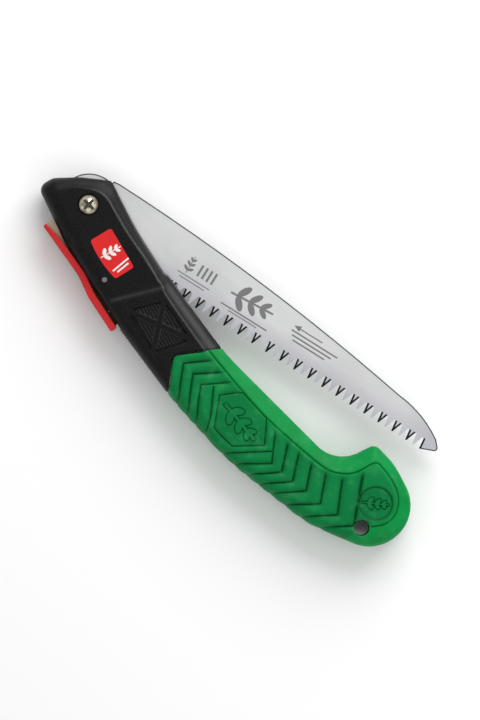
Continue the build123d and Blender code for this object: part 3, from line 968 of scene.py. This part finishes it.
MATERIALS = {
    "grip_rubber": grip_material(),
    "core_plastic": core_material(),
    "blade_steel": blade_material(),
    # Near-black steel for the teeth's ground facets: painted shade where the tilted facets look dark.
    "ground_facet": steel_material("tooth_facets_painted_dark", (0.035, 0.035, 0.038), 0.4),
    # Dark steel, also used for the painted shade of the chamfer strips.
    "blade_edge": steel_material("blade_edge", (0.09, 0.09, 0.1), 0.5),
    "lever_plastic": plastic_material("red_lever", (0.56, 0.002, 0.006), 0.3),
    "zinc_plate": plate_material(),
    "plated_steel": steel_material("nickel_plate", (0.7, 0.65, 0.52), 0.2, 0.05, 0.0, 0.3),
    "spring_steel": steel_material("spring_steel", (0.3, 0.3, 0.31), 0.35),
    "washer_nylon": plastic_material("washer_nylon", (0.7, 0.69, 0.64), 0.45),
    "label_film": plastic_material("label_red", (0.68, 0.004, 0.004), 0.28, 0.02),
    "label_white": plastic_material("label_white", (0.85, 0.82, 0.8), 0.35, 0.02),
    "etching": steel_material("etched_steel", (0.24, 0.24, 0.245), 0.6),
    # Painted shade for the inside of the screw's cross recess.
    "recess": steel_material("screw_recess_painted_shade", (0.1, 0.09, 0.07), 0.45),
    "screw_head": screw_material(),
    "pin_end": steel_material("steel_pin", (0.3, 0.32, 0.36), 0.3, 0.0, 0.0, 0.3),
}


# ---- pieces ----
def build_handle():
    grip = link("green_grip", grip_mesh(), "handle", MATERIALS["grip_rubber"])
    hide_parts("grip_overmould")
    core = link("black_core", core_mesh(), "handle", MATERIALS["core_plastic"])
    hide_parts("handle_core")


def finish_cad_nodes():
    for item in frame["record"]["subparts"]:
        piece = frame["nodes"][item["node"]]
        piece.data.materials.clear()
        piece.data.materials.append(MATERIALS[item["material_slot"]])


def label_motif(side):
    """A plain white sprig on the label, with two bars beside it."""
    z = side * (CORE_HALF + MOTIF_LIFT)
    outline = leaf_shapes((23.8, -8.6), 11.0, math.radians(75), 1.25)
    outline.append(bar_shape((31.9, -4.6), (31.0, -14.4), 0.8))
    outline.append(bar_shape((33.6, -6.4), (32.9, -13.2), 0.8))
    shapes = [[at(x, y, z) for x, y in shape] for shape in outline]
    return flat_mesh(f"label_motif_{side}", shapes, side)


def leaf_shapes(centre, length, turn, fat=1.0):
    """Outlines of a stem and pairs of leaves, in millimetres of the plan."""
    shapes = [bar_shape((-0.5, 0.0), (0.5, 0.0), 0.045)]
    for root, lean, size in ((-0.34, 0.95, 0.34), (-0.06, 0.85, 0.31), (0.2, 0.7, 0.26)):
        for side in (1, -1):
            steps = [math.pi * k / 10 for k in range(21)]
            leaf = [(size * (1 - math.cos(t)) / 2, fat * size * 0.2 * math.sin(t)) for t in steps]
            c, s = math.cos(lean * side), math.sin(lean * side)
            shapes.append([(root + u * c - v * s, u * s + v * c) for u, v in leaf[:-1]])
    c, s = math.cos(turn) * length, math.sin(turn) * length
    return [[(centre[0] + x * c - y * s, centre[1] + x * s + y * c) for x, y in shape]
            for shape in shapes]


def bar_shape(start, end, width):
    run = Vector(end) - Vector(start)
    side = Vector((-run.y, run.x)).normalized() * width / 2
    a, b = Vector(start), Vector(end)
    return [tuple(a + side), tuple(a - side), tuple(b - side), tuple(b + side)]


def flat_mesh(name, shapes, side):
    """Thin flat shapes, each a hair above the last so that none lie in one plane."""
    bm = bmesh.new()
    for index, shape in enumerate(shapes):
        lift = Vector((0, 0, side * index * SHAPE_STEP * MM))
        face = bm.faces.new([bm.verts.new(Vector(p) + lift) for p in shape])
        face.normal_update()
        if face.normal.z * side < 0:
            face.normal_flip()
    bmesh.ops.triangulate(bm, faces=bm.faces)
    mesh = bpy.data.meshes.new(name)
    bm.to_mesh(mesh)
    bm.free()
    return mesh


def blade_marks(side):
    """Plain marks etched on the blade: two sprigs, an arrow and bars."""
    z = side * (BLADE_HALF + MARK_LIFT)
    shapes = leaf_shapes((92.0, 1.6), 23.0, math.radians(4), 1.1)
    shapes += level_bars(((79.0, 105.0, -6.0, 0.7), (84.0, 100.0, -7.4, 0.5)))
    shapes += leaf_shapes((57.0, 1.6), 9.0, math.radians(90), 1.2)
    shapes += [bar_shape((62.5 + 2.6 * k, -1.4), (62.5 + 2.6 * k, 4.6), 1.1) for k in range(4)]
    shapes += level_bars(((53.0, 71.0, -4.0, 0.5), (55.0, 69.0, -5.6, 0.5)))
    shapes += level_bars(((118.0, 131.0, 3.4, 0.6),))
    shapes.append([(115.0, 3.4), (118.6, 4.9), (118.6, 1.9)])
    shapes += level_bars((115.0 + 1.5 * k, 141.0 - 2.5 * k, 1.0 - 2.0 * k, 0.75) for k in range(3))
    placed = [[on_blade(x, y, z) for x, y in shape] for shape in shapes]
    return flat_mesh(f"blade_marks_{side}", placed, side)


def level_bars(rows):
    """Bars along the blade, each given by its two ends, its height and its width."""
    return [bar_shape((start, y), (end, y), width) for start, end, y, width in rows]


def painted_chamfer_shades(side):
    """The narrow ground chamfer that borders the blade, except along its teeth, laid as a flat strip of dark
    steel: painted shade where the chamfer looks dark.
    """
    bm = bmesh.new()
    bm.from_mesh(frame["nodes"]["blade"].data)
    bmesh.ops.remove_doubles(bm, verts=bm.verts, dist=0.002 * MM)
    out = bmesh.new()
    c, s = math.cos(BLADE_ANGLE), math.sin(BLADE_ANGLE)
    for edge in bm.edges:
        if len(edge.link_faces) != 2:
            continue
        flat = [f for f in edge.link_faces if f.normal.z * side > 0.99]
        wall = [f for f in edge.link_faces if abs(f.normal.z) < 0.1]
        if len(flat) != 1 or len(wall) != 1:
            continue
        a, b = (v.co for v in edge.verts)
        middle = ((a + b) / 2 - PIVOT) / MM
        along, across = middle.x * c + middle.y * s, middle.y * c - middle.x * s
        toothed = across < TOOTH_ROOT_Y and along < BLADE_TIP_X
        if toothed or middle.xy.length < TANG_INSIDE:
            continue
        inward = -wall[0].normal * CHAMFER_WIDTH * MM
        lift = Vector((0, 0, side * CHAMFER_LIFT)) * MM
        corners = [a + lift, b + lift, b + inward + lift, a + inward + lift]
        face = out.faces.new([out.verts.new(p) for p in corners])
        face.normal_update()
        if face.normal.z * side < 0:
            face.normal_flip()
    mesh = bpy.data.meshes.new(f"chamfer_painted_shade_{side}")
    out.to_mesh(mesh)
    out.free()
    bm.free()
    return mesh


def spring_mesh():
    """The lever's coil spring, with closed end coils, along y."""
    rings, around = [], 10
    steps = int(SPRING_TURNS * SPRING_STEPS)
    for k in range(steps + 1):
        share = k / steps
        turn = 2 * math.pi * SPRING_TURNS * share
        climb = share - 0.08 * math.sin(2 * math.pi * share)
        rise = SPRING_WIRE / 2 + (SPRING_LENGTH - SPRING_WIRE) * climb
        centre = Vector((SPRING_RADIUS * math.cos(turn), -rise, SPRING_RADIUS * math.sin(turn)))
        out = Vector((math.cos(turn), 0, math.sin(turn)))
        ring = []
        for j in range(around):
            angle = 2 * math.pi * j / around
            arm = out * math.cos(angle) + Vector((0, 1, 0)) * math.sin(angle)
            ring.append(centre + arm * SPRING_WIRE / 2)
        rings.append(ring)
    bm = bmesh.new()
    origin = at(*SPRING_TOP)
    made = [[bm.verts.new(origin + p * MM) for p in ring] for ring in rings]
    for first, second in zip(made, made[1:]):
        for j in range(around):
            bm.faces.new((first[j], first[(j + 1) % around], second[(j + 1) % around], second[j]))
    bm.faces.new(made[0])
    bm.faces.new(made[-1])
    bmesh.ops.recalc_face_normals(bm, faces=bm.faces)
    mesh = bpy.data.meshes.new("lock_spring")
    bm.to_mesh(mesh)
    bm.free()
    shade(mesh, 50)
    return mesh


def build_spring():
    spring = link("lock_spring", spring_mesh(), "handle", MATERIALS["spring_steel"])
    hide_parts("lever_spring")
    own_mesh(spring)


def add_marks():
    kinds = (
        ("label_motif", label_motif, "handle", "label_white", "label_film"),
        ("blade_marks", blade_marks, "blade", "etching", "blade_steel"),
        ("chamfer_painted_shade", painted_chamfer_shades, "blade", "blade_edge", "blade_steel"),
    )
    for side, name in ((1, "near"), (-1, "far")):
        for kind, make, body, material, slot in kinds:
            link(f"{kind}_{name}", make(side), body, MATERIALS[material])


def finish_screw():
    """The screw's cross recess gets a dark material between its walls, painted shade in the recess, and the
    lever's pin is plain steel.
    """
    mesh = frame["nodes"]["pivot_screw"].data
    mesh.materials.clear()
    mesh.materials.append(MATERIALS["screw_head"])
    mesh.materials.append(MATERIALS["recess"])
    for face in mesh.polygons:
        out = (face.center - PIVOT) / MM
        floor = face.normal.z > 0.999 and out.z < CROSS_FLOOR
        in_head = out.xy.length < CROSS_REACH and out.z > HEAD_UNDERSIDE
        if in_head and (face.normal.z < 0.6 or floor):
            face.material_index = 1
    pin = frame["nodes"]["lever_pin"].data
    pin.materials.clear()
    pin.materials.append(MATERIALS["pin_end"])


def finish_blade():
    piece = frame["nodes"]["blade"]
    mesh = piece.data
    mesh.materials.append(MATERIALS["ground_facet"])
    mesh.materials.append(MATERIALS["blade_edge"])
    for face in mesh.polygons:
        lean = abs(face.normal.z)
        # Flat faces get the blade's steel, ground facets the near-black steel of painted shade, and walls the dark
        # edge steel.
        face.material_index = 0 if lean > 0.98 else 1 if lean > 0.2 else 2


def build_stage():
    bpy.ops.mesh.primitive_plane_add(size=6, location=(0, 0, 0))
    floor = bpy.context.object
    floor.name = "floor"
    material, _, shader = new_material("floor_paper", Roughness=0.9)
    shader.inputs["Base Color"].default_value = (0.93, 0.93, 0.93, 1)
    floor.data.materials.append(material)


def area_light(name, where, target, size, power):
    data = bpy.data.lights.new(name, "AREA")
    data.shape = "RECTANGLE"
    data.size, data.size_y = size
    data.energy = power
    lamp = bpy.data.objects.new(name, data)
    scene.collection.objects.link(lamp)
    lamp.location = where
    aim = Vector(target) - Vector(where)
    lamp.rotation_euler = aim.to_track_quat("-Z", "Y").to_euler()


def build_lights():
    world = bpy.data.worlds.new("studio")
    world.use_nodes = True
    world.node_tree.nodes["Background"].inputs["Color"].default_value = (1, 1, 1, 1)
    world.node_tree.nodes["Background"].inputs["Strength"].default_value = 0.66
    scene.world = world
    area_light("key", (-0.3, 0.85, 0.62), (0, 0, 0), (1.0, 0.8), 11)
    area_light("fill", (0.9, -0.1, 0.7), (0, 0, 0), (0.6, 0.6), 1.5)


def build_camera():
    data = bpy.data.cameras.new("camera")
    data.lens = LENS
    data.sensor_width = SENSOR
    camera = bpy.data.objects.new("camera", data)
    scene.collection.objects.link(camera)
    data.clip_end = 50
    distance = VIEW_HEIGHT * LENS / SENSOR
    camera.location = at(*VIEW_CENTRE) + Vector((0, 0, distance))
    camera.rotation_euler = (0, 0, VIEW_TURN)
    data.clip_start = 0.05
    scene.camera = camera


scene.view_settings.view_transform = "Standard"
build_camera()
build_lights()
build_stage()
finish_cad_nodes()
finish_blade()
finish_screw()
build_handle()
build_spring()
add_marks()
